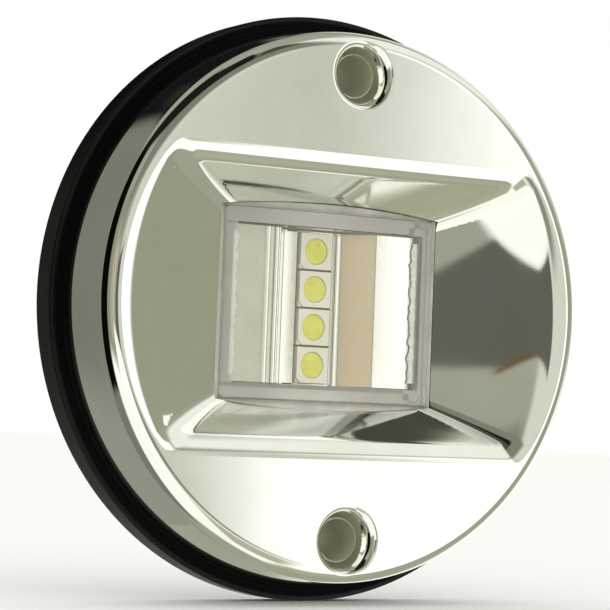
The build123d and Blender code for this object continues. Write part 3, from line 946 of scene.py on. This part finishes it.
# the walls' milky pale tone is painted light, standing in for the light the clear walls reflect
# inside them
clear_wall_painted_glow = clear_plastic("clear_plastic_wall_painted_glow", 0.58, (0.93, 0.91, 0.80), (0.98, 0.97, 0.90),
                           0.02, 0.08)
foil = metal("bright_metallised", (0.95, 0.93, 0.88), (0.98, 0.96, 0.93), 0.05, 0.11)
foil_satin = moulded("satin_metallised", (0.58, 0.58, 0.46), (0.68, 0.68, 0.56), 0.3, 0.45,
                     0.8, 0.02, 6.0)
seal = moulded("seal_rubber", (0.62, 0.61, 0.53), (0.78, 0.77, 0.69), 0.1, 0.25, 1.0, 0.02, 3.0)
resin = moulded("resin", (0.86, 0.85, 0.77), (0.93, 0.92, 0.85), 0.2, 0.4, 1.0, 0.02, 4.0)
glue = moulded("adhesive", (0.72, 0.72, 0.64), (0.92, 0.92, 0.86), 0.15, 0.35, 0.5, 0.12, 0.8)
board = moulded("circuit_board", (0.62, 0.62, 0.55), (0.70, 0.70, 0.62), 0.3, 0.45)
led_body = moulded("led_body", (0.90, 0.87, 0.72), (0.95, 0.93, 0.80), 0.35, 0.5, 0.4, 0.004)
phosphor = moulded("phosphor", (0.80, 0.78, 0.12), (0.90, 0.88, 0.22), 0.25, 0.4, 0.3, 0.01, 1.5)
solder = metal("solder", (0.55, 0.55, 0.54), (0.68, 0.68, 0.66), 0.25, 0.4)
chip = moulded("chip_black", (0.015, 0.015, 0.016), (0.025, 0.025, 0.026), 0.35, 0.5)
sleeve = moulded("sleeve_metal", (0.50, 0.48, 0.36), (0.60, 0.58, 0.45), 0.45, 0.6, 0.5, 0.01)

LEDS = range(1, 5)
finish_nodes(["back_plate", "wire_grommet"], black)
finish_nodes(["led_board"], board)
finish_nodes([f"led_package_{led}" for led in LEDS], led_body)
finish_nodes(["led_leads", "resistor_ends", "diode_tabs", "wire_solder_joints"], solder)
finish_nodes(["resistor_1", "resistor_2", "resistor_3", "polarity_diode"], chip)
finish_nodes(["screw_sleeve_upper", "screw_sleeve_lower"], sleeve)

build_cover(steel)
build_ring(rubber_face_shaded, rubber_side_lit)
build_lens(clear, clear_wall_painted_glow)
build_tray(foil, foil_satin)
build_seal(seal)
build_glue(glue)
for led in LEDS:
    build_phosphor(led, phosphor)
build_resin(resin)

studio_world(
    base=(0.38, 0.39, 0.31),
    panels=[
        (-190, -122, -60, 44, 8, (0.21, 0.215, 0.175)),       # room behind, left
        (-190, -140, -60, -16, 16, (0.31, 0.315, 0.26)),      # its paler floor
        (130, 190, 30, 66, 8, (0.33, 0.335, 0.28)),           # room behind, high right
        (140, 190, 0, 43, 7, (0.008, 0.008, 0.008)),          # black card behind
        (-190, -164, 0, 43, 8, (0.008, 0.008, 0.008)),        # and the rest of it past 180
        (-120, -24, -15, 30, 8, (0.30, 0.31, 0.24)),          # dull wall on the left
        (-68, 40, -72, -15, 8, (1.10, 1.10, 1.02)),           # low softbox
        (-126, -74, -75, -27, 8, (0.20, 0.20, 0.165)),        # dull floor, left
        (-36, -26, -8, 14, 5, (0.56, 0.57, 0.48)),            # narrow grey card, left
        (8, 27, -50, -20, 5, (0.50, 0.49, 0.38)),             # warm card, low
        (-10, 31, -16, 26, 10, (0.70, 0.72, 0.62)),           # pale wall in front
        (-40, 34, 24, 50, 12, (0.22, 0.23, 0.18)),            # dull ceiling in front
        (33, 52, -46, 24, 7, (1.25, 1.25, 1.20)),             # main softbox
        (29.0, 52, -46, 0.5, 3, (1.25, 1.25, 1.20)),          # and its wider lower half
        (35, 100, 28, 62, 10, (0.95, 0.95, 0.88)),            # high softbox, right
        (54, 92, -16, 16, 8, (0.345, 0.35, 0.26)),            # dull wall, right
        (30, 75, -70, -50, 12, (0.46, 0.45, 0.34)),           # dull floor, right
        (-32, 10, -30, -4.6, 3, (1.12, 1.12, 1.06)),          # bright table, low in front
        (-48, -40, -10, 20, 6, (0.56, 0.46, 0.31)),           # warm side wall
        (-18.0, 3, -4.6, 8.2, 0.9, (0.125, 0.13, 0.105), -0.3),    # the dark shape of the camera
        (-15.0, -9, 7.2, 8.0, 0.5, (0.16, 0.10, 0.05)),       # its brown upper edge
        (8, 27, -12, -1.5, 4, (0.28, 0.28, 0.22)),            # grey card right of it
        (-119, -70, -28, 60, 5, (0.003, 0.003, 0.002)),       # black flags: left,
        (-118, 14, 49, 82, 6, (0.012, 0.012, 0.010)),         # overhead
        (14, 31, 48, 70, 5, (0.07, 0.075, 0.055)),            # and overhead right
        (96, 150, -34, -3, 12, (1.15, 1.15, 1.08)),           # low softbox behind, right
        (96, 150, 14, 40, 16, (0.85, 0.85, 0.78)),            # high softbox behind, right
    ],
    fill=(1.12, 1.12, 1.08),
    backdrop=(1, 1, 1),
)
make_floor(-GASKET_R * MM)
make_camera(position=(-174.638, -298.186, -16.360), azimuth=30.4690, rise=2.8077, roll=-2.19,
            lens=144.8)
bpy.context.scene.view_settings.view_transform = "Standard"
